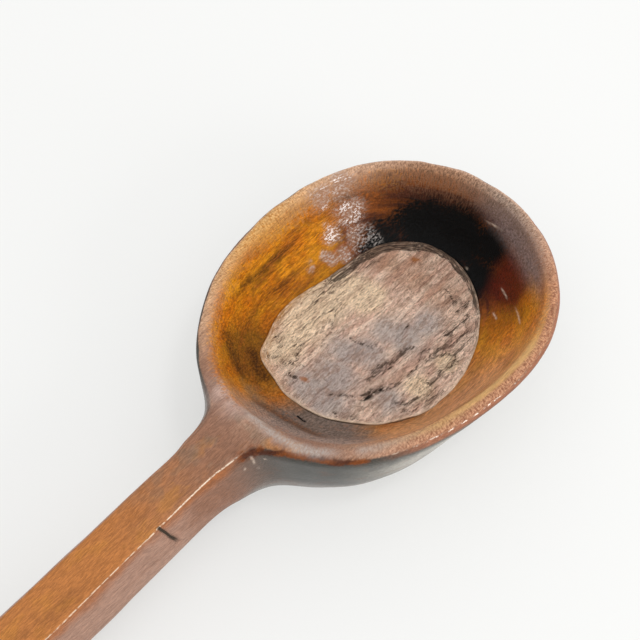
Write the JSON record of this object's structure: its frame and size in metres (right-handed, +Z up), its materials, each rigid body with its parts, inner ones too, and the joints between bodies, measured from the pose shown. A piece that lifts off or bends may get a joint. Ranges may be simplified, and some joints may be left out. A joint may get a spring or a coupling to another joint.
{
  "type": "ladle",
  "caption": "Hand-carved wooden ladle: a shallow oval bowl with a rough bare floor, on a thick straight handle with a hanging hole.",
  "frame": {"origin": "centre of the bowl on the plane that the ladle lies on", "axes": "+X from the handle to the bowl's far tip, +Z up out of the bowl, +Y to the left of the handle seen from its end"},
  "size_m": [0.3396, 0.1117, 0.036],
  "materials": {
    "polished_wood": "dark polished wood, scorched on the far wall",
    "handle_wood": "worn satin wood",
    "bare_wood": "rough bare wood, matt"
  },
  "bodies": {
    "root": {"bowl": "polished_wood", "handle": "handle_wood", "bowl_floor": "bare_wood"}
  },
  "joints": []
}
